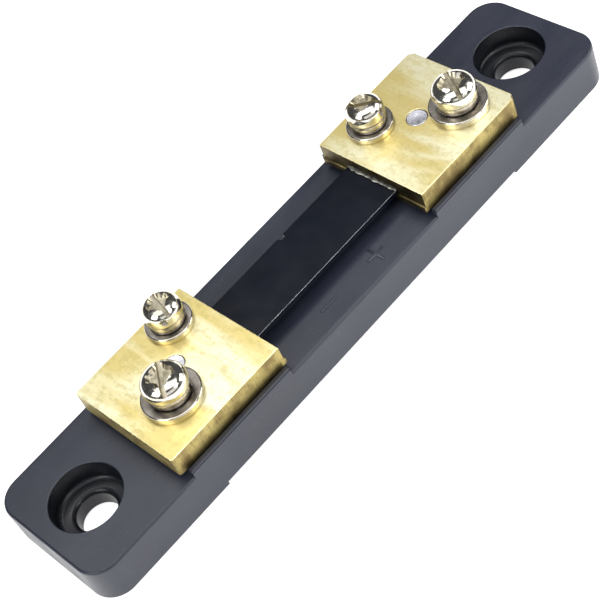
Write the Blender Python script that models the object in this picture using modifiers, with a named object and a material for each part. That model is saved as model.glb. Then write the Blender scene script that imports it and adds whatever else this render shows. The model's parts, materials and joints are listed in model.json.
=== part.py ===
"""Two-terminal current shunt on a moulded base, modelled in metres with +Z up.

The origin is the centre of the base's underside, X runs along the bar, and the two ends are
called a (at -X) and b (at +X). The wide current screws stand nearer -Y, the sense screws nearer +Y.
"""
import math

import bmesh
import bpy
from mathutils import Matrix, Vector

MM = 0.001
GAP = 0.3 * MM

# Base bar
BASE_LENGTH = 118.0 * MM
BASE_WIDTH = 25.0 * MM
BASE_TOP = 7.4 * MM
BASE_CORNER_RADIUS = 4.4 * MM
FOOT_HEIGHT = 0.9 * MM
FOOT_INNER_END = 34.3 * MM
HOLE_SPACING = 100.0 * MM
HOLE_RADIUS = 3.3 * MM
COUNTERBORE_RADIUS = 5.95 * MM
COUNTERBORE_DEPTH = 3.9 * MM
LIP_HEIGHT = 1.45 * MM
LIP_THICKNESS = 0.9 * MM
LIP_ENDS = (17.0 * MM, 38.2 * MM)
PAD_HEIGHT = 0.7 * MM
PAD_INSET = 1.2 * MM

# Brass blocks
BLOCK_ENDS = (16.5 * MM, 39.5 * MM)
BLOCK_WIDTH = 22.4 * MM
BLOCK_THICKNESS = 4.0 * MM
BLOCK_BOTTOM = BASE_TOP + PAD_HEIGHT + GAP
BLOCK_TOP = BLOCK_BOTTOM + BLOCK_THICKNESS
BLOCK_CORNER_CHAMFERS = {"a": 0.3 * MM, "b": 0.8 * MM}
BLOCK_EDGE_CHAMFER = 0.15 * MM
LEDGE_PROUD = 0.3 * MM
LEDGE_TOP = BASE_TOP + 2.15 * MM

# Resistance strip
STRIP_WIDTH = 10.6 * MM
STRIP_THICKNESS = 1.0 * MM
STRIP_BOTTOM = BASE_TOP + 2.0 * MM
STRIP_TOP = STRIP_BOTTOM + STRIP_THICKNESS
STRIP_INSERTION = 3.0 * MM
NOTCH_WIDTH = 0.6 * MM
NOTCH_DEPTH = 0.9 * MM
FILLET_SIZE = 0.5 * MM
FILLET_GAP = 0.1 * MM

# Screws: each row is one size of terminal screw with its two washers
CURRENT = {
    "shank_radius": 1.95 * MM,
    "shank_length": 10.0 * MM,
    "head_radius": 3.7 * MM,
    "head_height": 3.4 * MM,
    "slot_width": 1.3 * MM,
    "flat_radius": 4.9 * MM,
    "flat_thickness": 1.0 * MM,
    "spring_radius": 3.5 * MM,
    "spring_thickness": 1.0 * MM,
}
SENSE = {
    "shank_radius": 1.7 * MM,
    "shank_length": 8.0 * MM,
    "head_radius": 3.15 * MM,
    "head_height": 3.4 * MM,
    "slot_width": 1.1 * MM,
    "flat_radius": 3.95 * MM,
    "flat_thickness": 0.8 * MM,
    "spring_radius": 3.05 * MM,
    "spring_thickness": 1.0 * MM,
}
THREAD_CLEARANCE = 0.1 * MM
WASHER_CLEARANCE = 0.25 * MM
CURRENT_PLACES = {"a": (-31.45 * MM, -3.3 * MM), "b": (33.5 * MM, -4.6 * MM)}
SENSE_PLACES = {"a": (-22.2 * MM, 7.2 * MM), "b": (23.6 * MM, 5.9 * MM)}
SLOT_TURNS = {"current_a": 55.0, "current_b": 63.0, "sense_a": 78.0, "sense_b": 132.0}

# Fixing screws, from under the base into each block
FIXING_PLACES = {"a": (-27.2 * MM, 1.1 * MM), "b": (28.6 * MM, 0.3 * MM)}
FIXING_SHANK_RADIUS = 1.75 * MM
FIXING_HEAD_RADIUS = 3.5 * MM
FIXING_HEAD_HEIGHT = 2.3 * MM
FIXING_SEAT = 4.1 * MM
FIXING_TIP_BELOW_TOP = 0.05 * MM

ROUND_STEPS = 32
SIDE = {"a": -1, "b": 1}


def clear_scene():
    for old in list(bpy.data.objects):
        bpy.data.objects.remove(old, do_unlink=True)


def new_collection(name):
    collection = bpy.data.collections.new(name)
    bpy.context.scene.collection.children.link(collection)
    return collection


def make_material(name, colour, roughness, metallic):
    material = bpy.data.materials.new(name)
    material.use_nodes = True
    shader = material.node_tree.nodes["Principled BSDF"]
    shader.inputs["Base Color"].default_value = (*colour, 1.0)
    shader.inputs["Roughness"].default_value = roughness
    shader.inputs["Metallic"].default_value = metallic
    return material


def object_from_bmesh(name, bm, collection):
    mesh = bpy.data.meshes.new(name)
    bm.to_mesh(mesh)
    bm.free()
    obj = bpy.data.objects.new(name, mesh)
    collection.objects.link(obj)
    return obj


def box(name, low, high, collection):
    """An axis-aligned box between two corners, with its origin at its centre."""
    size = Vector(high) - Vector(low)
    bm = bmesh.new()
    bmesh.ops.create_cube(bm, size=1.0, matrix=Matrix.Diagonal((*size, 1.0)))
    obj = object_from_bmesh(name, bm, collection)
    obj.location = (Vector(low) + Vector(high)) / 2
    return obj


def upright_cylinder(name, place, bottom, top, radius, collection):
    bm = bmesh.new()
    bmesh.ops.create_cone(
        bm, cap_ends=True, segments=ROUND_STEPS, radius1=radius, radius2=radius, depth=top - bottom
    )
    obj = object_from_bmesh(name, bm, collection)
    obj.location = (place[0], place[1], (bottom + top) / 2)
    return obj


def turned(name, profile, place, collection, closed=False):
    """A solid of revolution about +Z at place, from (radius, height) points run top to bottom."""
    mesh = bpy.data.meshes.new(name)
    points = [(radius, 0.0, height) for radius, height in profile]
    edges = [(i, i + 1) for i in range(len(points) - 1)]
    if closed:
        edges.append((len(points) - 1, 0))
    mesh.from_pydata(points, edges, [])
    obj = bpy.data.objects.new(name, mesh)
    collection.objects.link(obj)
    obj.location = (place[0], place[1], 0.0)
    screw = obj.modifiers.new("turn", "SCREW")
    screw.axis = "Z"
    screw.angle = math.tau
    screw.steps = ROUND_STEPS
    screw.render_steps = ROUND_STEPS
    screw.use_merge_vertices = True
    screw.merge_threshold = 0.00001
    screw.use_normal_calculate = True
    screw.use_smooth_shade = True
    return obj


def boolean(obj, operation, other):
    modifier = obj.modifiers.new(other.name, "BOOLEAN")
    modifier.operation = operation
    modifier.object = other
    modifier.solver = "EXACT"


def as_cutter(obj):
    obj.hide_render = True
    obj.display_type = "WIRE"
    return obj


def chamfer_edges(bm, wanted, width, segments=1):
    edges = [edge for edge in bm.edges if wanted(edge)]
    bmesh.ops.bevel(bm, geom=edges, offset=width, segments=segments, profile=0.5, affect="EDGES")


def is_vertical(edge):
    first, second = edge.verts
    return abs(first.co.x - second.co.x) < 1e-7 and abs(first.co.y - second.co.y) < 1e-7


def finish(obj, material, smooth=False):
    obj.data.materials.clear()
    obj.data.materials.append(material)
    if smooth:
        obj.data.shade_smooth()


def head_stack(size):
    """Heights of the flat washer, the spring washer and the head's underside above the block."""
    flat_bottom = BLOCK_TOP + GAP
    spring_bottom = flat_bottom + size["flat_thickness"] + GAP
    head_bottom = spring_bottom + size["spring_thickness"] + GAP
    return flat_bottom, spring_bottom, head_bottom


def dome_points(radius, bottom, height, rim_share=0.3):
    """A domed head's outline from its crown to the foot of its rim."""
    rim_height = height * rim_share
    dome_height = height - rim_height
    steps = 5
    points = []
    for step in range(steps + 1):
        angle = math.radians(90) * step / steps
        points.append((radius * math.sin(angle), bottom + rim_height + dome_height * math.cos(angle)))
    points.append((radius, bottom + 0.3 * MM))
    points.append((radius - 0.3 * MM, bottom))
    return points


def make_base(parts, cutters, material):
    bm = bmesh.new()
    size = (BASE_LENGTH, BASE_WIDTH, BASE_TOP)
    bmesh.ops.create_cube(bm, size=1.0, matrix=Matrix.Diagonal((*size, 1.0)))
    chamfer_edges(bm, is_vertical, BASE_CORNER_RADIUS, segments=8)
    base = object_from_bmesh("base", bm, parts)
    base.location = (0.0, 0.0, BASE_TOP / 2)
    rooted = BASE_TOP - 1.0 * MM
    for end, side in SIDE.items():
        pad_ends = sorted(side * (x + inset) for x, inset in zip(BLOCK_ENDS, (PAD_INSET, -PAD_INSET)))
        half_pad = BLOCK_WIDTH / 2 - PAD_INSET
        pad = box(
            f"pad_{end}",
            (pad_ends[0], -half_pad, rooted),
            (pad_ends[1], half_pad, BASE_TOP + PAD_HEIGHT),
            cutters,
        )
        boolean(base, "UNION", as_cutter(pad))
        lip_ends = sorted(side * x for x in LIP_ENDS)
        for row, edge in (("near", -1), ("far", 1)):
            across = sorted((edge * BASE_WIDTH / 2, edge * (BASE_WIDTH / 2 - LIP_THICKNESS)))
            lip = box(
                f"lip_{end}_{row}",
                (lip_ends[0], across[0], rooted),
                (lip_ends[1], across[1], BASE_TOP + LIP_HEIGHT),
                cutters,
            )
            boolean(base, "UNION", as_cutter(lip))
    below = -1.0 * MM
    relief = box(
        "underside_relief",
        (-FOOT_INNER_END, -BASE_WIDTH, below),
        (FOOT_INNER_END, BASE_WIDTH, FOOT_HEIGHT),
        cutters,
    )
    boolean(base, "DIFFERENCE", as_cutter(relief))
    above = BASE_TOP + 3.0 * MM
    for end, side in SIDE.items():
        hole = (side * HOLE_SPACING / 2, 0.0)
        seat = BASE_TOP - COUNTERBORE_DEPTH
        pockets = (
            ("mounting_hole", hole, below, seat + 0.1 * MM, HOLE_RADIUS),
            ("counterbore", hole, seat, above, COUNTERBORE_RADIUS),
            ("current_pocket", CURRENT_PLACES[end], screw_tip(CURRENT) - 0.6 * MM, above, 2.6 * MM),
            ("sense_pocket", SENSE_PLACES[end], screw_tip(SENSE) - 0.6 * MM, above, 2.3 * MM),
            ("fixing_hole", FIXING_PLACES[end], below, above, FIXING_SHANK_RADIUS + GAP),
            ("fixing_head_recess", FIXING_PLACES[end], below, FIXING_SEAT, FIXING_HEAD_RADIUS + 0.5 * MM),
        )
        for name, place, bottom, top, radius in pockets:
            cutter = upright_cylinder(f"{name}_{end}", place, bottom, top, radius, cutters)
            boolean(base, "DIFFERENCE", as_cutter(cutter))
    finish(base, material)


def screw_tip(size):
    return head_stack(size)[2] - size["shank_length"]


def make_block(end, parts, cutters, material):
    """A sawn block with a slightly proud inner foot, slotted for the strip and drilled for its screws."""
    side = SIDE[end]
    length = BLOCK_ENDS[1] - BLOCK_ENDS[0]
    bm = bmesh.new()
    size = (length, BLOCK_WIDTH, BLOCK_THICKNESS)
    bmesh.ops.create_cube(bm, size=1.0, matrix=Matrix.Diagonal((*size, 1.0)))
    corner = BLOCK_CORNER_CHAMFERS[end]
    chamfer_edges(bm, lambda edge: is_vertical(edge) and side * edge.verts[0].co.x > 0, corner)
    top = BLOCK_THICKNESS / 2
    chamfer_edges(bm, lambda edge: all(vert.co.z > top - 1e-7 for vert in edge.verts), BLOCK_EDGE_CHAMFER)
    block = object_from_bmesh(f"brass_block_{end}", bm, parts)
    block.location = (side * sum(BLOCK_ENDS) / 2, 0.0, BLOCK_BOTTOM + BLOCK_THICKNESS / 2)
    inner = BLOCK_ENDS[0]
    ledge_ends = sorted((side * (inner - LEDGE_PROUD), side * (inner + 1.0 * MM)))
    ledge = box(
        f"ledge_{end}",
        (ledge_ends[0], -BLOCK_WIDTH / 2, BLOCK_BOTTOM),
        (ledge_ends[1], BLOCK_WIDTH / 2, LEDGE_TOP),
        cutters,
    )
    boolean(block, "UNION", as_cutter(ledge))
    slot_ends = sorted((side * (inner - 1.0 * MM), side * (inner + STRIP_INSERTION + GAP)))
    half_slot = STRIP_WIDTH / 2 + GAP
    slot = box(
        f"strip_slot_{end}",
        (slot_ends[0], -half_slot, STRIP_BOTTOM - GAP),
        (slot_ends[1], half_slot, STRIP_TOP + GAP),
        cutters,
    )
    boolean(block, "DIFFERENCE", as_cutter(slot))
    holes = (
        ("current_thread", CURRENT_PLACES[end], CURRENT["shank_radius"]),
        ("sense_thread", SENSE_PLACES[end], SENSE["shank_radius"]),
        ("fixing_thread", FIXING_PLACES[end], FIXING_SHANK_RADIUS),
    )
    for name, place, radius in holes:
        bore = upright_cylinder(
            f"{name}_{end}", place, BLOCK_BOTTOM - MM, BLOCK_TOP + MM, radius + THREAD_CLEARANCE, cutters
        )
        boolean(block, "DIFFERENCE", as_cutter(bore))
    finish(block, material)


def make_strip(parts, cutters, material):
    reach = BLOCK_ENDS[0] + STRIP_INSERTION
    half = STRIP_WIDTH / 2
    strip = box("resistance_strip", (-reach, -half, STRIP_BOTTOM), (reach, half, STRIP_TOP), parts)
    notch = box(
        "trim_notch",
        (-NOTCH_WIDTH / 2, half - NOTCH_DEPTH, STRIP_BOTTOM - MM),
        (NOTCH_WIDTH / 2, half + MM, STRIP_TOP + MM),
        cutters,
    )
    boolean(strip, "DIFFERENCE", as_cutter(notch))
    finish(strip, material)


def make_braze_fillet(end, parts, material):
    """A wedge of filler in the corner between the strip's top and the block's inner face."""
    side = SIDE[end]
    wall = side * (BLOCK_ENDS[0] - FILLET_GAP)
    toe = wall - side * FILLET_SIZE
    low = (min(wall, toe), -STRIP_WIDTH / 2, STRIP_TOP + FILLET_GAP)
    high = (max(wall, toe), STRIP_WIDTH / 2, STRIP_TOP + FILLET_GAP + FILLET_SIZE)
    fillet = box(f"braze_fillet_{end}", low, high, parts)
    for vert in fillet.data.vertices:
        if side * vert.co.x < 0 and vert.co.z > 0:
            vert.co.z = -FILLET_SIZE / 2 + 0.1 * MM
    finish(fillet, material)


def cut_drive(obj, place, top, size, turn, cutters):
    """A slot right across the head and a shorter one square to it."""
    arms = (
        ("slot", 2.4 * size["head_radius"], 1.4 * MM, 0.0),
        ("cross", 1.25 * size["head_radius"], 1.9 * MM, 90.0),
    )
    for name, length, depth, angle in arms:
        half = (length / 2, size["slot_width"] / 2)
        low = (-half[0], -half[1], top - depth)
        arm = box(f"{obj.name}_{name}", low, (half[0], half[1], top + MM), cutters)
        arm.location = (place[0], place[1], arm.location.z)
        arm.rotation_euler = (0.0, 0.0, math.radians(turn + angle))
        boolean(obj, "DIFFERENCE", as_cutter(arm))


def make_terminal_screw(kind, end, size, place, parts, cutters, material):
    bottom = head_stack(size)[2]
    tip = screw_tip(size)
    shank = size["shank_radius"]
    profile = dome_points(size["head_radius"], bottom, size["head_height"])
    profile += [(shank, bottom), (shank, tip + 0.5 * MM), (shank - 0.5 * MM, tip), (0.0, tip)]
    screw = turned(f"{kind}_screw_{end}", profile, place, parts)
    turn = SLOT_TURNS[f"{kind}_{end}"]
    cut_drive(screw, place, bottom + size["head_height"], size, turn, cutters)
    finish(screw, material)


def ring_profile(inner, outer, bottom, thickness, edge):
    top = bottom + thickness
    return [
        (outer - edge, top),
        (outer, top - edge),
        (outer, bottom + edge),
        (outer - edge, bottom),
        (inner, bottom),
        (inner, top),
    ]


def make_washers(kind, end, size, place, parts, cutters, material):
    flat_bottom, spring_bottom, _ = head_stack(size)
    inner = size["shank_radius"] + WASHER_CLEARANCE
    flat = turned(
        f"{kind}_flat_washer_{end}",
        ring_profile(inner, size["flat_radius"], flat_bottom, size["flat_thickness"], 0.15 * MM),
        place,
        parts,
        closed=True,
    )
    finish(flat, material)
    spring = turned(
        f"{kind}_spring_washer_{end}",
        ring_profile(inner, size["spring_radius"], spring_bottom, size["spring_thickness"], 0.1 * MM),
        place,
        parts,
        closed=True,
    )
    reach = size["spring_radius"] + MM
    split = box(
        f"{kind}_split_{end}",
        (0.0, -0.3 * MM, spring_bottom - MM),
        (reach, 0.3 * MM, spring_bottom + size["spring_thickness"] + MM),
        cutters,
    )
    turn = math.radians(SLOT_TURNS[f"{kind}_{end}"] - 110.0)
    split.location.x = place[0] + math.cos(turn) * reach / 2
    split.location.y = place[1] + math.sin(turn) * reach / 2
    split.rotation_euler = (0.0, 0.0, turn)
    boolean(spring, "DIFFERENCE", as_cutter(split))
    finish(spring, material)


def make_fixing_screw(end, parts, cutters, material):
    """A pan-head screw from below, whose tip ends just under the block's top."""
    seat = FIXING_SEAT - GAP
    tip = BLOCK_TOP - FIXING_TIP_BELOW_TOP
    head_bottom = seat - FIXING_HEAD_HEIGHT
    profile = [
        (0.0, tip),
        (FIXING_SHANK_RADIUS - 0.2 * MM, tip),
        (FIXING_SHANK_RADIUS, tip - 0.2 * MM),
        (FIXING_SHANK_RADIUS, seat),
        (FIXING_HEAD_RADIUS, seat),
        (FIXING_HEAD_RADIUS, head_bottom + 0.9 * MM),
        (FIXING_HEAD_RADIUS * 0.85, head_bottom + 0.3 * MM),
        (FIXING_HEAD_RADIUS * 0.6, head_bottom),
        (0.0, head_bottom),
    ]
    place = FIXING_PLACES[end]
    screw = turned(f"fixing_screw_{end}", profile, place, parts)
    for angle in (45.0, 135.0):
        half = (1.9 * MM, 0.4 * MM)
        arm = box(
            f"fixing_cross_{end}_{angle:.0f}",
            (-half[0], -half[1], head_bottom - MM),
            (half[0], half[1], head_bottom + 1.2 * MM),
            cutters,
        )
        arm.location = (place[0], place[1], arm.location.z)
        arm.rotation_euler = (0.0, 0.0, math.radians(angle))
        boolean(screw, "DIFFERENCE", as_cutter(arm))
    finish(screw, material)


def main():
    clear_scene()
    parts = new_collection("battery_monitor_shunt")
    cutters = new_collection("cutters")
    plastic = make_material("black_plastic", (0.045, 0.048, 0.055), 0.45, 0.0)
    brass = make_material("sawn_brass", (0.78, 0.64, 0.30), 0.3, 1.0)
    lacquer = make_material("black_lacquer", (0.015, 0.017, 0.022), 0.4, 0.0)
    filler = make_material("silver_filler", (0.70, 0.70, 0.68), 0.35, 1.0)
    nickel = make_material("nickel_plate", (0.72, 0.70, 0.66), 0.15, 1.0)
    steel = make_material("zinc_steel", (0.60, 0.60, 0.62), 0.35, 1.0)
    make_base(parts, cutters, plastic)
    make_strip(parts, cutters, lacquer)
    for end in SIDE:
        make_block(end, parts, cutters, brass)
        make_braze_fillet(end, parts, filler)
        make_fixing_screw(end, parts, cutters, steel)
        for kind, size, places in (("current", CURRENT, CURRENT_PLACES), ("sense", SENSE, SENSE_PLACES)):
            make_washers(kind, end, size, places[end], parts, cutters, nickel)
            make_terminal_screw(kind, end, size, places[end], parts, cutters, nickel)
    bpy.context.view_layer.update()


main()
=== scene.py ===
"""Looks of the battery monitor shunt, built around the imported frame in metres, +Z up.

X runs along the bar from end a to end b. The terminal screws stand on top of the two brass blocks,
the wide current screws nearer -Y and the sense screws nearer +Y.
"""
import json
import math

import bmesh
import bpy
from mathutils import Euler, Matrix, Vector, noise


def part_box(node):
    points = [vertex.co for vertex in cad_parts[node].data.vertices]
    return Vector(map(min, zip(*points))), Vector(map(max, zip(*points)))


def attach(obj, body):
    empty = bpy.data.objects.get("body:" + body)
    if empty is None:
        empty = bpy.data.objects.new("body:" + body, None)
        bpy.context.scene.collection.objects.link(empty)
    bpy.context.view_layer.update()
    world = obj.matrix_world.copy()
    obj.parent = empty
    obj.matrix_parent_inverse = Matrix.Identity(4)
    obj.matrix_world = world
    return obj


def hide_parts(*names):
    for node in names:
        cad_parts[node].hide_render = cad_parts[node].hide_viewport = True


MM = 0.001
ENDS = {"a": -1, "b": 1}
KINDS = ("current", "sense")

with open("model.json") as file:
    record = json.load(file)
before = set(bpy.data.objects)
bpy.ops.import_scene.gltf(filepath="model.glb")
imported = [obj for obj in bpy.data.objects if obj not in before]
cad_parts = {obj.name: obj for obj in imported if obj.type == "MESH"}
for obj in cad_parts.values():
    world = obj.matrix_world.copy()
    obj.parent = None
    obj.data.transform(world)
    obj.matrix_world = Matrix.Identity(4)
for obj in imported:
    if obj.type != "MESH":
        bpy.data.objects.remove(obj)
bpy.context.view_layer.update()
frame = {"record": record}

# Places taken from the frame
base_low, base_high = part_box("base")
strip_low, strip_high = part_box("resistance_strip")
blocks = {end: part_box(f"brass_block_{end}") for end in ENDS}
record = frame["record"]
mounts = {mount["name"]: Vector(mount["pos_m"]) for mount in record["mounts"]}
openings = {opening["name"]: opening["box_m"] for opening in record["physics"]["openings"]}

# Base bar
LIP_HEIGHT = 1.45 * MM
BASE_TOP = base_high.z - LIP_HEIGHT
BASE_CORNER_RADIUS = 4.4 * MM
BASE_EDGE_RADIUS = 0.45 * MM
FOOT_HEIGHT = 0.9 * MM
FOOT_INNER_END = 34.3 * MM
LIP_THICKNESS = 0.9 * MM
LIP_ENDS = (17.0 * MM, 38.2 * MM)
LIP_EDGE_BEVEL = 0.16 * MM
PAD_INSET = 1.2 * MM
HOLE_RADIUS = 3.3 * MM
COUNTERBORE_RADIUS = 5.95 * MM
SEAM_WIDTH = 0.18 * MM
SEAM_DEPTH = 0.13 * MM
SEAM_BELOW_TOP = 0.42 * MM
MARK_BAR = (3.6 * MM, 0.5 * MM)
MARK_HEIGHT = 0.13 * MM
MARK_EDGE_BEVEL = 0.1 * MM
MARK_Y = -8.6 * MM
MINUS_X = -4.5 * MM
PLUS_X = 6.5 * MM
EJECTOR_XS = (-25 * MM, -9 * MM, 9 * MM, 25 * MM)
EJECTOR_YS = (-8 * MM, 8 * MM)
EJECTOR_RADIUS = 1.6 * MM
EJECTOR_DEPTH = 0.12 * MM

# Blocks and strip
LEDGE_PROUD = 0.3 * MM
LEDGE_TOP = BASE_TOP + 2.15 * MM
BLOCK_CORNER_CHAMFERS = {"a": 0.3 * MM, "b": 0.8 * MM}
BLOCK_EDGE_BEVEL = 0.12 * MM
# The order of a block's brasses: its top, sides, edges, inner face and outer end
TOP, SIDE, EDGE, INNER, OUTER = range(5)
STRIP_INSERTION = 3.0 * MM
STRIP_EDGE_BEVEL = 0.3 * MM

# Fixing screws, up through the base into the blocks
FIXING_SHANK_RADIUS = 1.75 * MM
FIXING_PITCH = 0.7 * MM
FIXING_SEAT = 3.8 * MM

# Terminal screws and their washers, with each slot's turn in degrees from +X
THREAD_PITCH = {"current": 0.7 * MM, "sense": 0.6 * MM}
SHANK_RADIUS = {"current": 1.95 * MM, "sense": 1.7 * MM}
SLOT_WIDTH = {"current": 0.9 * MM, "sense": 0.8 * MM}
SLOT_TURNS = {"current_a": 55.0, "current_b": 63.0, "sense_a": 78.0, "sense_b": 132.0}
WASHER_SPARE = 0.25 * MM

# The CAD's gap between stacked washers and heads, and the much smaller one left here
CAD_GAP = 0.3 * MM
TOUCH = 0.02 * MM
# How near two coordinates are when they count as equal
SAME = 1e-6
# A height above the whole base, where the cutters that run up through it end
CLEAR_ABOVE = 12 * MM
BORE_STEPS = 72

# Lamps: azimuth from +X towards +Y, elevation, distance, width and height, radiance
SOFTBOXES = {
    "key_softbox": (68.0, 67.0, 0.7, (0.46, 0.3), 4.4),
    "overhead_softbox": (-116.0, 72.0, 0.7, (1.2, 0.42), 1.7),
    "left_softbox": (184.0, 32.0, 0.7, (0.34, 0.3), 4.6),
    "front_softbox": (-104.0, 28.0, 0.7, (0.9, 0.3), 0.9),
    "edge_softbox": (-68.0, 37.0, 0.7, (0.18, 0.14), 12.0),
    "right_softbox": (-30.0, 24.0, 0.22, (0.12, 0.1), 3.6),
}
WORLD_COLOUR = (0.62, 0.63, 0.66, 1.0)
WORLD_STRENGTH = 0.12

# Camera
CAMERA_PLACE = Vector((-81.65, -158.86, 196.65)) * MM
CAMERA_AIM = Vector((-8.1, -7.7, 12.0)) * MM
CAMERA_ROLL = -26.8
CAMERA_LENS = 100.6


def block_inner(end):
    """The x of a block's inner face, above its ledge."""
    low, high = blocks[end]
    return high.x - LEDGE_PROUD if end == "a" else low.x + LEDGE_PROUD


def centre_of(node):
    """The middle of a CAD node's box."""
    low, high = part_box(node)
    return (low + high) / 2


# ---------------------------------------------------------------- mesh helpers


def new_piece(name, bm):
    """An object made of the bmesh, which is used up."""
    mesh = bpy.data.meshes.new(name)
    bm.to_mesh(mesh)
    bm.free()
    piece = bpy.data.objects.new(name, mesh)
    bpy.context.scene.collection.objects.link(piece)
    return piece


def settle(piece):
    """Applies the piece's modifiers."""
    depsgraph = bpy.context.evaluated_depsgraph_get()
    depsgraph.update()
    mesh = bpy.data.meshes.new_from_object(piece.evaluated_get(depsgraph))
    piece.modifiers.clear()
    old = piece.data
    piece.data = mesh
    bpy.data.meshes.remove(old)


def combine(piece, others, operation):
    """Cuts the others out of the piece, or joins them to it, and removes them."""
    for other in others:
        modifier = piece.modifiers.new(other.name, "BOOLEAN")
        modifier.operation = operation
        modifier.object = other
        modifier.solver = "EXACT"
    settle(piece)
    for other in others:
        bpy.data.objects.remove(other, do_unlink=True)


def soften(piece, width, segments=2, limit=35.0):
    """Rounds the sharp edges and keeps the large flat faces flat in the shading."""
    if width:
        bevel = piece.modifiers.new("bevel", "BEVEL")
        bevel.width = width
        bevel.segments = segments
        bevel.limit_method = "ANGLE"
        bevel.angle_limit = math.radians(limit)
        bevel.use_clamp_overlap = True
        settle(piece)
    piece.data.shade_smooth()
    piece.data.set_sharp_from_angle(angle=math.radians(limit))
    weighted = piece.modifiers.new("normals", "WEIGHTED_NORMAL")
    weighted.keep_sharp = True
    weighted.weight = 50
    settle(piece)


def box(name, low, high, turn=None):
    """A box between two corners, which may then be turned about its middle."""
    low = Vector(low)
    size = Vector(high) - low
    matrix = Matrix.Translation(low + size / 2)
    if turn is not None:
        matrix = matrix @ Euler(turn).to_matrix().to_4x4()
    bm = bmesh.new()
    bmesh.ops.create_cube(bm, size=1.0, matrix=matrix @ Matrix.Diagonal((*size, 1.0)))
    return new_piece(name, bm)


def bevel_edges(bm, wanted, width, segments):
    """Bevels the edges for which the test wanted() is true."""
    edges = [edge for edge in bm.edges if wanted(edge)]
    bmesh.ops.bevel(bm, geom=edges, offset=width, segments=segments, profile=0.5, affect="EDGES")


def bevel_piece(piece, wanted, width, segments):
    bm = bmesh.new()
    bm.from_mesh(piece.data)
    bevel_edges(bm, wanted, width, segments)
    bm.to_mesh(piece.data)
    bm.free()


def is_upright(edge):
    first, second = (vert.co for vert in edge.verts)
    return (first - second).to_2d().length < SAME


def lies_at(edge, height):
    return all(abs(vert.co.z - height) < SAME for vert in edge.verts)


def arc(centre, radius, start, end, steps=5):
    """Points (radius, height) of an arc in a turned profile, angles in degrees from straight outwards."""
    points = []
    for step in range(steps + 1):
        angle = math.radians(start + (end - start) * step / steps)
        points.append((centre[0] + radius * math.cos(angle), centre[1] + radius * math.sin(angle)))
    return points


def turned(name, profile, place=(0.0, 0.0), steps=BORE_STEPS, closed=False):
    """A solid of revolution. A radius may be a number or a function of the angle."""
    bm = bmesh.new()
    rings = []
    for radius, height in profile:
        if not callable(radius) and radius == 0.0:
            rings.append([bm.verts.new((place[0], place[1], height))])
            continue
        ring = []
        for step in range(steps):
            angle = math.tau * step / steps
            reach = radius(angle) if callable(radius) else radius
            ring.append(bm.verts.new((
                place[0] + reach * math.cos(angle), place[1] + reach * math.sin(angle), height
            )))
        rings.append(ring)
    pairs = list(zip(rings, rings[1:]))
    if closed:
        pairs.append((rings[-1], rings[0]))
    for upper, lower in pairs:
        for step in range(steps):
            after = (step + 1) % steps
            corners = [upper[step % len(upper)], lower[step % len(lower)]]
            corners += [lower[after % len(lower)], upper[after % len(upper)]]
            bm.faces.new(list(dict.fromkeys(corners)))
    bmesh.ops.recalc_face_normals(bm, faces=bm.faces)
    return new_piece(name, bm)


def loft(bm, rings):
    """Joins each ring of vertices to the next and closes both ends."""
    count = len(rings[0])
    for upper, lower in zip(rings, rings[1:]):
        for i in range(count):
            after = (i + 1) % count
            bm.faces.new((upper[i], lower[i], lower[after], upper[after]))
    bm.faces.new(rings[0])
    bm.faces.new(list(reversed(rings[-1])))
    bmesh.ops.recalc_face_normals(bm, faces=bm.faces)


# ---------------------------------------------------------------- materials


def srgb(red, green, blue):
    """Display values from 0 to 255 as a linear colour."""
    return tuple(
        (value / 255 / 12.92 if value < 11 else ((value / 255 + 0.055) / 1.055) ** 2.4)
        for value in (red, green, blue)
    )


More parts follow.
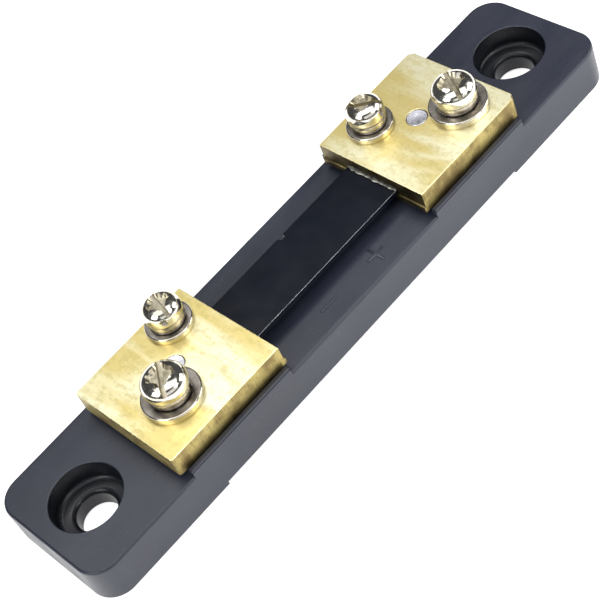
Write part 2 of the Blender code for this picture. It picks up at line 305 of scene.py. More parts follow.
class Surface:
    """A material and the nodes that feed its Principled shader."""

    def __init__(self, name, metallic, roughness, **sockets):
        self.material = bpy.data.materials.new(name)
        self.material.use_nodes = True
        self.nodes = self.material.node_tree.nodes
        self.links = self.material.node_tree.links
        self.shader = self.nodes["Principled BSDF"]
        self.shader.inputs["Metallic"].default_value = metallic
        self.shader.inputs["Roughness"].default_value = roughness
        for socket, value in sockets.items():
            self.shader.inputs[socket.replace("_", " ")].default_value = value
        self.place = self.nodes.new("ShaderNodeTexCoord").outputs["Object"]

    def stretched(self, scale):
        """The place on the surface, scaled along each axis."""
        mapping = self.nodes.new("ShaderNodeMapping")
        mapping.inputs["Scale"].default_value = scale
        self.links.new(self.place, mapping.inputs["Vector"])
        return mapping.outputs["Vector"]

    def noise(self, scale, detail=3.0, stretch=(1.0, 1.0, 1.0), roughness=0.5, distortion=0.0):
        texture = self.nodes.new("ShaderNodeTexNoise")
        texture.inputs["Scale"].default_value = scale
        texture.inputs["Detail"].default_value = detail
        texture.inputs["Roughness"].default_value = roughness
        texture.inputs["Distortion"].default_value = distortion
        self.links.new(self.stretched(stretch), texture.inputs["Vector"])
        return texture.outputs["Fac"]

    def ramp(self, value, low, high, first=0.0, second=1.0):
        """The value between low and high spread over first to second, and held beyond them."""
        spread = self.nodes.new("ShaderNodeMapRange")
        spread.interpolation_type = "SMOOTHSTEP"
        spread.inputs["From Min"].default_value = low
        spread.inputs["From Max"].default_value = high
        spread.inputs["To Min"].default_value = first
        spread.inputs["To Max"].default_value = second
        self.links.new(value, spread.inputs["Value"])
        return spread.outputs["Result"]

    def mix(self, share, first, second):
        """Colours or colour outputs mixed by a value output."""
        blend = self.nodes.new("ShaderNodeMix")
        blend.data_type = "RGBA"
        self.links.new(share, blend.inputs["Factor"])
        for name, colour in (("A", first), ("B", second)):
            socket = next(s for s in blend.inputs if s.name == name and s.type == "RGBA")
            if isinstance(colour, tuple):
                socket.default_value = (*colour, 1.0)
            else:
                self.links.new(colour, socket)
        return [output for output in blend.outputs if output.type == "RGBA"][0]

    def combined(self, operation, first, second):
        """Two values, each a number or a value output, put through a Math node."""
        node = self.nodes.new("ShaderNodeMath")
        node.operation = operation
        for socket, value in zip(node.inputs, (first, second)):
            if isinstance(value, float):
                socket.default_value = value
            else:
                self.links.new(value, socket)
        return node.outputs["Value"]

    def bump(self, height, distance, strength, after=None):
        """A normal that follows the height, laid over an earlier normal where there is one."""
        node = self.nodes.new("ShaderNodeBump")
        node.inputs["Distance"].default_value = distance
        node.inputs["Strength"].default_value = strength
        self.links.new(height, node.inputs["Height"])
        if after is not None:
            self.links.new(after, node.inputs["Normal"])
        return node.outputs["Normal"]

    def finish(self, colour=None, roughness=None, normal=None):
        for socket, value in (("Base Color", colour), ("Roughness", roughness), ("Normal", normal)):
            if value is not None:
                self.links.new(value, self.shader.inputs[socket])
        return self.material


def moulded_plastic(name, low, high, ior=1.5):
    """Black plastic with a fine grain, pale specks and soft scuffs."""
    surface = Surface(name, 0.0, 0.4, IOR=ior)
    cloud = surface.noise(55, detail=4)
    speck = surface.noise(2600, detail=2)
    colour = surface.mix(surface.ramp(cloud, 0.3, 0.7), low, high)
    colour = surface.mix(surface.ramp(speck, 0.62, 0.8), colour, srgb(64, 68, 80))
    scuff = surface.noise(160, detail=5, stretch=(0.4, 1.6, 1.0))
    roughness = surface.ramp(scuff, 0.3, 0.7, 0.27, 0.4)
    grain = surface.bump(speck, 0.008 * MM, 0.6)
    waves = surface.bump(surface.noise(120, detail=2), 0.02 * MM, 0.5, after=grain)
    return surface.finish(colour, roughness, waves)


def brushed_brass():
    """The blocks' tops: streaks across the block over cloudy patches, the brass paled towards white as a
    painted highlight.
    """
    surface = Surface("brushed_brass", 1.0, 0.4)
    cross = surface.noise(40, detail=6, stretch=(22.0, 5.0, 2.0), roughness=0.7)
    grain = surface.noise(1100, detail=4, roughness=0.65)
    cross_share = surface.combined("MULTIPLY", cross, 0.6)
    grain_share = surface.combined("MULTIPLY", grain, 0.4)
    streaks = surface.combined("ADD", cross_share, grain_share)
    patches = surface.noise(75, detail=6, stretch=(2.0, 0.6, 1.0), distortion=0.4)
    # The near-white tones paint the whitish highlight into the brass colour.
    colour = surface.mix(surface.ramp(patches, 0.38, 0.6), srgb(254, 249, 212), srgb(230, 212, 142))
    colour = surface.mix(surface.ramp(streaks, 0.47, 0.6, 0.0, 0.5), colour, srgb(206, 192, 124))
    roughness = surface.ramp(streaks, 0.35, 0.65, 0.38, 0.5)
    scratches = surface.bump(streaks, 0.012 * MM, 0.5)
    dents = surface.bump(patches, 0.03 * MM, 0.35, after=scratches)
    return surface.finish(colour, roughness, dents)


def sawn_brass(name, metallic):
    """The blocks' sides: upright saw marks. A lower metallic value looks dusty."""
    surface = Surface(name, metallic, 0.45)
    marks = surface.noise(60, detail=4, stretch=(70.0, 70.0, 8.0), roughness=0.65)
    patches = surface.noise(340, detail=4)
    colour = surface.mix(surface.ramp(patches, 0.35, 0.65), srgb(186, 170, 110), srgb(136, 118, 78))
    colour = surface.mix(surface.ramp(marks, 0.5, 0.66, 0.0, 0.5), colour, srgb(112, 98, 60))
    roughness = surface.ramp(marks, 0.35, 0.65, 0.42, 0.56)
    cuts = surface.bump(marks, 0.015 * MM, 0.6)
    return surface.finish(colour, roughness, cuts)


def strip_lacquer():
    surface = Surface("strip_lacquer", 0.0, 0.25, IOR=1.4)
    cloud = surface.noise(90, detail=4)
    colour = surface.mix(surface.ramp(cloud, 0.3, 0.7), srgb(10, 15, 26), srgb(14, 20, 32))
    roughness = surface.ramp(surface.noise(300, detail=4), 0.3, 0.7, 0.2, 0.24)
    peel = surface.bump(surface.noise(900, detail=2), 0.008 * MM, 0.5)
    return surface.finish(colour, roughness, peel)


def bare_edge_and_highlight():
    """Pale metal for the strip's edges: lacquer rubbed through to the metal, painted near white as a
    highlight along the long edge.
    """
    surface = Surface("bare_edge_and_highlight", 0.6, 0.4)
    wear = surface.noise(700, detail=4, stretch=(0.5, 1.0, 1.0))
    colour = surface.mix(surface.ramp(wear, 0.4, 0.6), srgb(196, 200, 208), srgb(244, 246, 250))
    return surface.finish(colour, surface.ramp(wear, 0.3, 0.7, 0.24, 0.42))


def silver_filler():
    surface = Surface("silver_filler", 1.0, 0.35)
    lumps = surface.noise(1500, detail=4)
    colour = surface.mix(surface.ramp(lumps, 0.35, 0.65), srgb(176, 174, 164), srgb(104, 102, 94))
    return surface.finish(colour, surface.ramp(lumps, 0.3, 0.7, 0.28, 0.55),
                          surface.bump(lumps, 0.03 * MM, 0.6))


def nickel(name, light, dark, smooth, dull, scratch=0.3):
    """A plated or rubbed metal, hazy from light to dark, its roughness from smooth to dull."""
    surface = Surface(name, 1.0, smooth)
    haze = surface.noise(420, detail=4)
    lines = surface.noise(2500, detail=3, stretch=(0.5, 1.0, 0.3))
    colour = surface.mix(surface.ramp(haze, 0.35, 0.7), light, dark)
    roughness = surface.ramp(lines, 0.4, 0.75, smooth, dull)
    return surface.finish(colour, roughness, surface.bump(lines, 0.004 * MM, scratch))


def fixing_steel():
    surface = Surface("fixing_steel", 1.0, 0.35)
    marks = surface.noise(1300, detail=4, stretch=(1.0, 2.5, 1.0))
    colour = surface.mix(surface.ramp(marks, 0.35, 0.65), srgb(236, 236, 244), srgb(198, 198, 208))
    return surface.finish(colour, surface.ramp(marks, 0.3, 0.7, 0.25, 0.5),
                          surface.bump(marks, 0.02 * MM, 0.6))


def paint(piece, slot_name, *materials):
    """The piece's own materials; slot_name is not used."""
    piece.data.materials.clear()
    for material in materials:
        piece.data.materials.append(material)


def hand_over(piece, body, *nodes):
    """The piece rides on its body and stands for its CAD nodes."""
    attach(piece, body)
    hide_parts(*nodes)


# ---------------------------------------------------------------- base


def bar_body():
    """The plain bar, with round corners and a fine rounding all along its top and bottom rims."""
    size = base_high - base_low
    size.z = BASE_TOP
    bm = bmesh.new()
    middle = Matrix.Translation((0.0, 0.0, BASE_TOP / 2))
    bmesh.ops.create_cube(bm, size=1.0, matrix=middle @ Matrix.Diagonal((*size, 1.0)))
    bevel_edges(bm, is_upright, BASE_CORNER_RADIUS, 14)
    bevel_edges(bm, lambda edge: lies_at(edge, 0.0) or lies_at(edge, BASE_TOP), BASE_EDGE_RADIUS, 3)
    return new_piece("base_moulding", bm)


def lip(end, edge):
    """A thin wall beside a block, flush with the bar's side."""
    side = ENDS[end]
    outer = edge * base_high.y
    across = sorted((outer, outer - edge * LIP_THICKNESS))
    ends = sorted(side * x for x in LIP_ENDS)
    low = (ends[0], across[0], BASE_TOP - MM)
    piece = box(f"lip_{end}", low, (ends[1], across[1], base_high.z))
    bevel_piece(piece, lambda e: lies_at(e, base_high.z), LIP_EDGE_BEVEL, 2)
    return piece


def pad(end):
    """The low pad that a block sits on."""
    low, high = blocks[end]
    inset = Vector((PAD_INSET, PAD_INSET, 0.0))
    top = low.z - TOUCH
    return box(f"pad_{end}", (*(low + inset).xy, BASE_TOP - MM), (*(high - inset).xy, top))


def counterbore_centre(end):
    low, high = openings[f"counterbore_{end}"]
    return (Vector(low).xy + Vector(high).xy) / 2


def mounting_hole(end):
    """The through hole, its counterbore and the rounded rims of both, as one cutter."""
    place = counterbore_centre(end)
    seat = mounts[f"screw_seat_{end}"].z
    rim = 0.22 * MM
    ledge = 0.8 * MM
    root = 0.8 * MM
    chamfer = 0.3 * MM
    profile = [(0.0, BASE_TOP + 3 * MM), (COUNTERBORE_RADIUS + rim, BASE_TOP + 3 * MM)]
    profile += [(COUNTERBORE_RADIUS + rim, BASE_TOP + 0.01 * MM)]
    profile += arc((COUNTERBORE_RADIUS + rim, BASE_TOP - rim), rim, 90, 180)
    profile += arc((COUNTERBORE_RADIUS - root, seat + root), root, 0, -90, 4)
    profile += arc((HOLE_RADIUS + ledge, seat - ledge), ledge, 90, 180, 4)
    profile += [(HOLE_RADIUS, chamfer), (HOLE_RADIUS + chamfer, 0.0)]
    profile += [(HOLE_RADIUS + chamfer, -MM), (0.0, -MM)]
    return turned(f"mounting_hole_{end}", profile, place, steps=96)


def hidden_pockets(end):
    """Holes under a block for the ends of the terminal screws, and the fixing screw's hole and recess."""
    cutters = []
    for kind, spare in (("current", 0.65 * MM), ("sense", 0.6 * MM)):
        node = f"{kind}_screw_{end}"
        place = centre_of(node)
        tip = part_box(node)[0].z - 0.6 * MM
        reach = SHANK_RADIUS[kind] + spare
        profile = [(0.0, CLEAR_ABOVE), (reach, CLEAR_ABOVE), (reach, tip), (0.0, tip)]
        cutters.append(turned(f"pocket_{kind}", profile, place))
    node = f"fixing_screw_{end}"
    place = centre_of(node)
    low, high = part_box(node)
    head = FIXING_SEAT + 0.3 * MM
    recess = (high.x - low.x) / 2 + 0.5 * MM
    shaft = FIXING_SHANK_RADIUS + 0.3 * MM
    chamfer = 0.25 * MM
    profile = [(0.0, CLEAR_ABOVE), (shaft, CLEAR_ABOVE), (shaft, head), (recess, head)]
    profile += [(recess, chamfer), (recess + chamfer, 0.0), (recess + chamfer, -MM), (0.0, -MM)]
    cutters.append(turned("fixing_hole", profile, place))
    return cutters


def polarity_marks():
    """A raised minus towards end a and a raised plus towards end b, on the bar's top beside the strip."""
    bars = []
    for x, sizes in ((MINUS_X, (MARK_BAR,)), (PLUS_X, (MARK_BAR, MARK_BAR[::-1]))):
        middle = Vector((x, MARK_Y, BASE_TOP))
        for along, across in sizes:
            low = middle - Vector((along / 2, across / 2, 0.3 * MM))
            high = middle + Vector((along / 2, across / 2, MARK_HEIGHT))
            bar = box(f"mark_{len(bars)}", low, high)
            bevel_piece(bar, lambda e: all(v.co.z > BASE_TOP for v in e.verts), MARK_EDGE_BEVEL, 2)
            bars.append(bar)
    return bars


def lip_seams():
    """A fine parting line along the outside of each lip."""
    seams = []
    height = base_high.z - SEAM_BELOW_TOP
    for end, side in ENDS.items():
        ends = sorted(side * x for x in LIP_ENDS)
        for edge in (-1, 1):
            across = sorted((edge * (base_high.y - SEAM_DEPTH), edge * (base_high.y + MM)))
            low = (ends[0] - MM, across[0], height - SEAM_WIDTH / 2)
            high = (ends[1] + MM, across[1], height + SEAM_WIDTH / 2)
            seams.append(box(f"seam_{end}", low, high))
    return seams


def ejector_marks():
    """Shallow round witness marks on the underside."""
    marks = []
    top = FOOT_HEIGHT + EJECTOR_DEPTH
    profile = [(0.0, top), (EJECTOR_RADIUS, top), (EJECTOR_RADIUS + 0.1 * MM, -MM), (0.0, -MM)]
    for x in EJECTOR_XS:
        for y in EJECTOR_YS:
            marks.append(turned(f"ejector_{len(marks)}", profile, (x, y), steps=40))
    return marks


def make_base(plastic, bore_shade_plastic):
    """The moulded bar, with a darker plastic inside the counterbores, painted shade in the holes."""
    base = bar_body()
    raised = [lip(end, edge) for end in ENDS for edge in (-1, 1)]
    raised += [pad(end) for end in ENDS]
    raised += polarity_marks()
    combine(base, raised, "UNION")
    cutters = [mounting_hole(end) for end in ENDS]
    for end in ENDS:
        cutters += hidden_pockets(end)
    width = 2 * base_high.y
    cutters.append(box("relief", (-FOOT_INNER_END, -width, -MM), (FOOT_INNER_END, width, FOOT_HEIGHT)))
    cutters += ejector_marks() + lip_seams()
    combine(base, cutters, "DIFFERENCE")
    soften(base, 0.0)
    paint(base, "base_plastic", plastic, bore_shade_plastic)
    # The faces inside the counterbores and holes take the darker plastic, which is painted shade.
    centres = [counterbore_centre(end) for end in ENDS]
    for face in base.data.polygons:
        reach = min((face.center.xy - centre).length for centre in centres)
        if reach < COUNTERBORE_RADIUS + 0.1 * MM and face.center.z < BASE_TOP - 0.1 * MM:
            face.material_index = 1
    hand_over(base, "root", "base")


# ---------------------------------------------------------------- blocks and strip


def block_blank(end):
    """The sawn block with its outer corners cut, and the low ledge along the foot of its inner face."""
    low, high = blocks[end]
    inner = block_inner(end)
    side = ENDS[end]
    outer = low.x if end == "a" else high.x
    body_ends = sorted((inner, outer))
    block = box(f"terminal_block_{end}", (body_ends[0], low.y, low.z), (body_ends[1], high.y, high.z))

    def is_outer_corner(edge):
        return is_upright(edge) and abs(edge.verts[0].co.x - outer) < SAME

    bevel_piece(block, is_outer_corner, BLOCK_CORNER_CHAMFERS[end], 1)
    ledge_ends = sorted((inner - side * LEDGE_PROUD, inner + side * MM))
    ledge = box("ledge", (ledge_ends[0], low.y, low.z), (ledge_ends[1], high.y, LEDGE_TOP))
    combine(block, [ledge], "UNION")
    return block


def block_cutters(end):
    """The slot for the strip, the countersunk bores of the terminal screws and the fixing screw's bore."""
    low, high = blocks[end]
    inner = block_inner(end)
    side = ENDS[end]
    above = high.z + MM
    below = low.z - MM
    slot_ends = sorted((inner - side * MM, inner + side * (STRIP_INSERTION + 0.3 * MM)))
    spare = Vector((0.0, 0.06 * MM, 0.06 * MM))
    slot_low = (slot_ends[0], *(strip_low - spare).yz)
    slot_high = (slot_ends[1], *(strip_high + spare).yz)
    cutters = [box("slot", slot_low, slot_high)]
    sink = 0.35 * MM
    for kind in KINDS:
        place = centre_of(f"{kind}_screw_{end}")
        reach = SHANK_RADIUS[kind] + 0.1 * MM
        profile = [(0.0, above), (reach + sink, above), (reach + sink, high.z)]
        profile += [(reach, high.z - sink), (reach, below), (0.0, below)]
        cutters.append(turned(f"bore_{kind}", profile, place))
    place = centre_of(f"fixing_screw_{end}")
    reach = FIXING_SHANK_RADIUS + 0.03 * MM
    profile = [(0.0, above), (reach, above), (reach, below), (0.0, below)]
    cutters.append(turned("bore_fixing", profile, place))
    return cutters


def make_block(end, brasses):
    """A terminal block, each of its faces in its own brass."""
    high = blocks[end][1]
    block = block_blank(end)
    combine(block, block_cutters(end), "DIFFERENCE")
    soften(block, BLOCK_EDGE_BEVEL, 2)
    paint(block, "block_brass", *brasses)
    for face in block.data.polygons:
        outwards = ENDS[end] * face.normal.x
        on_ledge = face.normal.z > 0.2 and face.center.z < high.z - 0.5 * MM
        # The inner face and the ledge take a darker brass: painted shade where the block faces the strip.
        if outwards < -0.5 or on_ledge:
            face.material_index = INNER
        elif outwards > 0.5 and face.normal.z < 0.2:
            face.material_index = OUTER
        elif 0.2 < face.normal.z < 0.98:
            face.material_index = EDGE
        elif face.normal.z < 0.2:
            face.material_index = SIDE
        else:
            face.material_index = TOP
    hand_over(block, "root", f"brass_block_{end}")


def make_strip(lacquer, bare_and_highlight):
    """The lacquered strip, with a notch filed in its +Y edge and its long -Y edge rubbed bare, its pale line
    partly a painted highlight.
    """
    strip = box("shunt_strip", strip_low, strip_high)
    edge = strip_high.y
    nicks = []
    # Three overlapping strokes of the file, each with its middle, half its size and its turn
    for place, half, turn in (
        ((0.0, edge), (0.34 * MM, 0.7 * MM), 12.0),
        ((0.45 * MM, edge + 0.15 * MM), (0.3 * MM, 0.55 * MM), -24.0),
        ((-0.5 * MM, edge + 0.3 * MM), (0.3 * MM, 0.5 * MM), 38.0),
    ):
        low = (place[0] - half[0], place[1] - half[1], strip_low.z - MM)
        high = (place[0] + half[0], place[1] + half[1], strip_high.z + MM)
        nicks.append(box("nick", low, high, turn=(0.0, 0.0, math.radians(turn))))
    combine(strip, nicks, "DIFFERENCE")
    soften(strip, STRIP_EDGE_BEVEL, 3)
    paint(strip, "strip_lacquer", lacquer, bare_and_highlight)
    for face in strip.data.polygons:
        # The rounded top of the -Y edge takes the pale metal: rubbed-bare metal with a painted highlight.
        rubbed_and_highlit = face.normal.z > 0.2 and face.normal.y < -0.2
        notched = abs(face.center.x) < MM and edge - 1.2 * MM < face.center.y < edge - 0.02 * MM
        filed = notched and face.normal.z < 0.95
        if rubbed_and_highlit or filed:
            face.material_index = 1
    hand_over(strip, "root", "resistance_strip")


def make_fillet(end, filler):
    """A concave bead of filler in the corner between the strip and the block, uneven along its length."""
    side = ENDS[end]
    buried = 0.03 * MM
    sunk = 0.02 * MM
    wall = block_inner(end) + side * buried
    floor = strip_high.z - sunk
    steps = 60
    curve_steps = 6
    bm = bmesh.new()
    rows = []
    for step in range(steps + 1):
        y = strip_low.y + (strip_high.y - strip_low.y) * step / steps
        waver = noise.noise(Vector((side * 3.0, y * 900, 0.0)))
        reach = (0.42 + 0.3 * waver) * MM
        row = [(wall, y, floor)]
        for part in range(curve_steps + 1):
            angle = math.radians(90 * part / curve_steps)
            out = reach * (1 - math.sin(angle))
            up = reach * (1 - math.cos(angle))
            row.append((wall - side * (out + buried), y, floor + up + sunk))
        rows.append([bm.verts.new(point) for point in row])
    loft(bm, rows)
    fillet = new_piece(f"braze_bead_{end}", bm)
    soften(fillet, 0.0, limit=50.0)
    paint(fillet, "braze_filler", filler)
    hand_over(fillet, "root", f"braze_fillet_{end}")


# ---------------------------------------------------------------- screws and washers


def thread_rows(radius, pitch, top, bottom, steps_per_turn=8):
    """Rows of a right-hand thread from top to bottom, for turned(), fading out at both ends."""
    depth = 0.54 * pitch
    crest_half = 0.12
    root_start = 0.88
    count = int((top - bottom) / pitch * steps_per_turn)
    rows = []
    for step in range(count + 1):
        height = top + (bottom - top) * step / count
        fade = min(1.0, (top - height) / pitch, (height - bottom) / pitch + 0.25)

        def reach(angle, height=height, fade=fade):
            phase = (height / pitch - angle / math.tau) % 1.0
            ridge = abs(2 * phase - 1)
            cut = min(1.0, max(0.0, (ridge - crest_half) / (root_start - crest_half)))
            return radius - depth * cut * max(0.0, fade)

        rows.append((reach, height))
    return rows


def head_rows(radius, bottom, top):
    """A pan head, from its crown over an oval dome to the foot of its short rim."""
    rim_top = bottom + 0.26 * (top - bottom)
    foot = 0.25 * MM
    fullness = 0.82
    rows = [(0.0, top)]
    steps = 18
    for step in range(1, steps + 1):
        angle = math.radians(90 * step / steps)
        height = rim_top + (top - rim_top) * math.cos(angle) ** fullness
        rows.append((radius * math.sin(angle), height))
    rows += arc((radius - foot, bottom + foot), foot, 0, -90, 4)
    return rows


def drive_cutter(name, place, turn, rows):
    """A sunk drive shape. Each row is a height and its outline's first quarter, from +X to +Y."""
    bm = bmesh.new()
    rings = []
    for height, quarter in rows:
        outline = quarter + [(-x, y) for x, y in reversed(quarter)]
        outline += [(-x, -y) for x, y in outline]
        rings.append([bm.verts.new((x, y, height)) for x, y in outline])
    loft(bm, rings)
    bm.transform(Matrix.Translation((*place.xy, 0.0)) @ Matrix.Rotation(math.radians(turn), 4, "Z"))
    return new_piece(name, bm)


def drive_cutters(name, place, top, radius, width, turn):
    """A slot right across the head, and a four-armed star with sloping walls in its middle."""
    slot = [(1.3 * radius, 0.5 * width)]
    slot_floor = [(1.3 * radius, 0.42 * width)]
    slot_rows = ((top + MM, slot), (top, slot), (top - 1.6 * MM, slot_floor))
    arm = [(0.7, 0.16), (0.64, 0.24), (0.44, 0.29), (0.38, 0.38), (0.29, 0.44), (0.24, 0.64), (0.16, 0.7)]
    star = [(x * radius, y * radius) for x, y in arm]
    star_floor = [(0.66 * x, 0.66 * y) for x, y in star]
    star_rows = ((top + 1.2 * MM, star), (top - 0.05 * MM, star), (top - 0.9 * MM, star_floor))
    return [
        drive_cutter(f"{name}_slot", place, turn, slot_rows),
        drive_cutter(f"{name}_star", place, turn, star_rows),
    ]


def make_screw(kind, end, bright, recess_shade):
    """A terminal screw with a thread, and a darker, duller nickel on the walls of its drive recess, its
    darkness painted shade.
    """
    node = f"{kind}_screw_{end}"
    low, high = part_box(node)
    place = (low + high) / 2
    radius = (high.x - low.x) / 2
    spring_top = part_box(f"{kind}_spring_washer_{end}")[1].z
    bottom = spring_top + CAD_GAP
    shank = SHANK_RADIUS[kind]
    head = head_rows(radius, bottom, high.z)
    rows = head + [(shank, bottom)]
    rows += thread_rows(shank, THREAD_PITCH[kind], bottom - 0.4 * MM, low.z + 0.45 * MM)
    rows += [(shank * 0.72, low.z), (0.0, low.z)]
    screw = turned(f"{kind}_pan_screw_{end}", rows, place, steps=64)
    turn = SLOT_TURNS[f"{kind}_{end}"]
    combine(screw, drive_cutters(node, place, high.z, radius, SLOT_WIDTH[kind], turn), "DIFFERENCE")
    soften(screw, 0.0, limit=32.0)
    paint(screw, "nickel_screw", bright, recess_shade)
    dome = [(edge, height) for edge, height in head if height > bottom + MM]
    # The recess walls take the darker nickel, painted shade inside the drive.
    # A face of the recess lies above the foot of the head and well below its dome
    for polygon in screw.data.polygons:
        reach = (polygon.center.xy - place.xy).length
        cover = max((height for edge, height in dome if edge >= reach), default=0.0)
        if bottom + 0.2 * MM < polygon.center.z < cover - 0.12 * MM:
            polygon.material_index = 1
    hand_over(screw, f"{kind}_turner_{end}", node)


def make_flat_washer(kind, end, face, rim):
    """A plain washer with a rounded upper rim, its top face in a darker nickel that is painted shade under
    the head.
    """
    node = f"{kind}_flat_washer_{end}"
    low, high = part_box(node)
    place = (low + high) / 2
    outer = (high.x - low.x) / 2
    inner = SHANK_RADIUS[kind] + WASHER_SPARE
    bottom = blocks[end][1].z + TOUCH
    rounding = 0.3 * MM
    burr = 0.08 * MM
    rows = arc((outer - rounding, high.z - rounding), rounding, 90, 0, 5)
    rows += [(outer, bottom + burr), (outer - burr, bottom)]
    rows += [(inner + 0.1 * MM, bottom), (inner, bottom + 0.1 * MM)]
    rows += [(inner, high.z - 0.15 * MM), (inner + 0.15 * MM, high.z)]
    washer = turned(f"{kind}_plain_washer_{end}", rows, place, steps=96, closed=True)
    soften(washer, 0.0, limit=40.0)
    paint(washer, "nickel_washer", face, rim)
    # The rim and sides take the bright nickel; the darker top face is painted shade.
    for polygon in washer.data.polygons:
        if polygon.normal.z < 0.9:
            polygon.material_index = 1
    hand_over(washer, f"{kind}_washers_{end}", node)


def make_spring_washer(kind, end, metal):
    """A split ring that climbs a little on its way round, so that its two ends stand apart."""
    node = f"{kind}_spring_washer_{end}"
    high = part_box(node)[1]
    place = centre_of(node)
    flat_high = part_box(f"{kind}_flat_washer_{end}")[1]
    outer = max(high.x - place.x, high.y - place.y)
    inner = SHANK_RADIUS[kind] + WASHER_SPARE
    bottom = flat_high.z + TOUCH
    top = high.z + CAD_GAP - TOUCH
    rise = 0.28 * MM
    thick = top - bottom - rise
    round_off = 0.14 * MM
    start = math.radians(SLOT_TURNS[f"{kind}_{end}"] - 100.0)
    sweep = math.radians(348)
    steps = 110
    corner = [(outer - round_off, 0.0), (outer - 0.3 * round_off, 0.3 * round_off), (outer, round_off)]
    section = [(radius, thick - height) for radius, height in corner]
    section += list(reversed(corner)) + [(inner, 0.0), (inner, thick)]
    bm = bmesh.new()
    rings = []
    for step in range(steps + 1):
        share = step / steps
        angle = start + sweep * share
        ring = []
        for radius, height in section:
            ring.append(bm.verts.new((
                place.x + radius * math.cos(angle),
                place.y + radius * math.sin(angle),
                bottom + height + rise * share,
            )))
        rings.append(ring)
    loft(bm, rings)
    washer = new_piece(f"{kind}_lock_washer_{end}", bm)
    soften(washer, 0.0, limit=40.0)
    paint(washer, "spring_steel", metal)
    hand_over(washer, f"{kind}_washers_{end}", node)


def cross_recess(place, low):
    """The two crossed bars of a fixing screw's drive recess, tapered as they go up into the head."""
    bars = []
    size = (3.6 * MM, 0.75 * MM, 2.6 * MM)
    middle = Matrix.Translation((0.0, 0.0, low + 0.1 * MM))
    for angle in (45.0, 135.0):
        bm = bmesh.new()
        bmesh.ops.create_cube(bm, size=1.0, matrix=middle @ Matrix.Diagonal((*size, 1.0)))
        for vert in bm.verts:
            if vert.co.z > low:
                vert.co.x *= 0.35
                vert.co.y *= 0.75
        spin = Matrix.Rotation(math.radians(angle), 4, "Z")
        bm.transform(Matrix.Translation((*place.xy, 0.0)) @ spin)
        bars.append(new_piece(f"recess_{angle:.0f}", bm))
    return bars


def make_fixing_screw(end, steel):
    """A screw up through the base, its head in the recess underneath and its tip flush in the block's top."""
    node = f"fixing_screw_{end}"
    low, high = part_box(node)
    place = (low + high) / 2
    radius = (high.x - low.x) / 2
    shank = FIXING_SHANK_RADIUS
    crown = 1.1 * MM
    rows = [(0.0, high.z - 0.08 * MM), (0.5 * MM, high.z - 0.05 * MM)]
    rows += [(shank - 0.12 * MM, high.z), (shank, high.z - 0.1 * MM)]
    rows += thread_rows(shank, FIXING_PITCH, high.z - 0.35 * MM, FIXING_SEAT + 1.2 * MM)
    rows += [(shank, FIXING_SEAT + 0.5 * MM), (shank, FIXING_SEAT), (radius - 0.15 * MM, FIXING_SEAT)]
    rows += arc((radius - crown, low.z + 1.25 * MM), crown, 0, -60, 8)
    rows += [(radius * 0.4, low.z + 0.04 * MM), (0.0, low.z)]
    screw = turned(f"base_screw_{end}", rows, place, steps=64)
    combine(screw, cross_recess(place, low.z), "DIFFERENCE")
    soften(screw, 0.0, limit=32.0)
    paint(screw, "fixing_steel", steel)
    hand_over(screw, "root", node)


# ---------------------------------------------------------------- stage, light and camera


def make_floor():
    """A pale floor just under the feet, which glows a little so that it stays white."""
    bm = bmesh.new()
    bmesh.ops.create_grid(bm, x_segments=1, y_segments=1, size=3.0)
    bm.transform(Matrix.Translation((0.0, 0.0, -0.02 * MM)))
    floor = new_piece("floor", bm)
    surface = Surface("floor_white", 0.0, 0.9)
    tone = surface.mix(surface.noise(3, detail=2), (0.86, 0.86, 0.86), (0.88, 0.88, 0.88))
    surface.shader.inputs["Emission Color"].default_value = (1.0, 1.0, 1.0, 1.0)
    surface.shader.inputs["Emission Strength"].default_value = 0.75
    floor.data.materials.append(surface.finish(tone))


def softbox(name, azimuth, elevation, distance, size, radiance):
    """A rectangular lamp aimed at the bar, with angles in degrees."""
    lamp = bpy.data.lights.new(name, "AREA")
    lamp.shape = "RECTANGLE"
    lamp.size, lamp.size_y = size
    lamp.energy = radiance * math.pi * size[0] * size[1]
    holder = bpy.data.objects.new(name, lamp)
    bpy.context.scene.collection.objects.link(holder)
    turn = math.radians(azimuth)
    rise = math.radians(elevation)
    away = Vector((math.cos(turn) * math.cos(rise), math.sin(turn) * math.cos(rise), math.sin(rise)))
    holder.location = away * distance
    holder.rotation_euler = away.to_track_quat("Z", "Y").to_euler()


def make_lights():
    world = bpy.data.worlds.new("studio")
    world.use_nodes = True
    sky = world.node_tree.nodes["Background"]
    sky.inputs["Color"].default_value = WORLD_COLOUR
    sky.inputs["Strength"].default_value = WORLD_STRENGTH
    bpy.context.scene.world = world
    for name, (azimuth, elevation, distance, size, radiance) in SOFTBOXES.items():
        softbox(name, azimuth, elevation, distance, size, radiance)
    bpy.context.scene.view_settings.view_transform = "Standard"


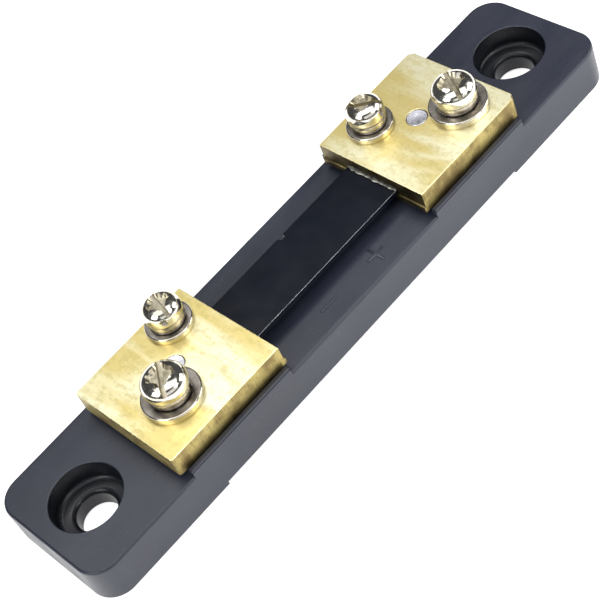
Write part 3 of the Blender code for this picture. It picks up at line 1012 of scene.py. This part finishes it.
def make_camera():
    lens = bpy.data.cameras.new("camera")
    lens.lens = CAMERA_LENS
    lens.sensor_width = 36.0
    lens.clip_start = 0.01
    camera = bpy.data.objects.new("camera", lens)
    bpy.context.scene.collection.objects.link(camera)
    camera.location = CAMERA_PLACE
    aim = CAMERA_AIM - CAMERA_PLACE
    roll = Matrix.Rotation(math.radians(CAMERA_ROLL), 4, "Z")
    camera.rotation_euler = (aim.to_track_quat("-Z", "Y").to_matrix().to_4x4() @ roll).to_euler()
    bpy.context.scene.camera = camera


def main():
    make_camera()
    make_floor()
    make_lights()
    plastic = moulded_plastic("moulded_plastic", srgb(38, 42, 54), srgb(47, 51, 64))
    # A darker copy of the plastic, painted shade for inside the counterbores.
    bore_shade_plastic = moulded_plastic("bore_shade_plastic", srgb(14, 16, 21), srgb(20, 22, 28), ior=1.4)
    make_base(plastic, bore_shade_plastic)
    make_strip(strip_lacquer(), bare_edge_and_highlight())
    # The edges' brass is rubbed wear and is paled like the tops, a painted highlight along the edges.
    edge_brass = nickel("rubbed_and_highlit_brass", srgb(252, 244, 200), srgb(232, 216, 156), 0.26, 0.4)
    # A darker brass for the blocks' inner faces and ledges: painted shade.
    inner_shade_brass = nickel("painted_shade_brass", srgb(128, 116, 80), srgb(90, 80, 54), 0.4, 0.56, 1.0)
    end_brass = sawn_brass("dusty_brass", 0.45)
    brasses = (brushed_brass(), sawn_brass("sawn_brass", 1.0), edge_brass, inner_shade_brass, end_brass)
    filler = silver_filler()
    steel = fixing_steel()
    bright = nickel("bright_nickel", srgb(236, 232, 222), srgb(205, 200, 186), 0.1, 0.26)
    # A darker nickel for the drive recesses: painted shade.
    recess_shade = nickel("recess_shade_nickel", srgb(216, 208, 184), srgb(150, 142, 120), 0.3, 0.5, 1.0)
    # A darker nickel for the washers' top faces: painted shade under the heads.
    dull = nickel("shaded_face_nickel", srgb(168, 162, 154), srgb(122, 116, 108), 0.3, 0.46, 0.8)
    rim = nickel("rim_nickel", srgb(240, 234, 220), srgb(212, 204, 186), 0.1, 0.24)
    spring = nickel("spring_nickel", srgb(206, 200, 188), srgb(160, 152, 136), 0.2, 0.38, 0.5)
    for end in ENDS:
        make_block(end, brasses)
        make_fillet(end, filler)
        make_fixing_screw(end, steel)
        for kind in KINDS:
            make_flat_washer(kind, end, dull, rim)
            make_spring_washer(kind, end, spring)
            make_screw(kind, end, bright, recess_shade)


main()
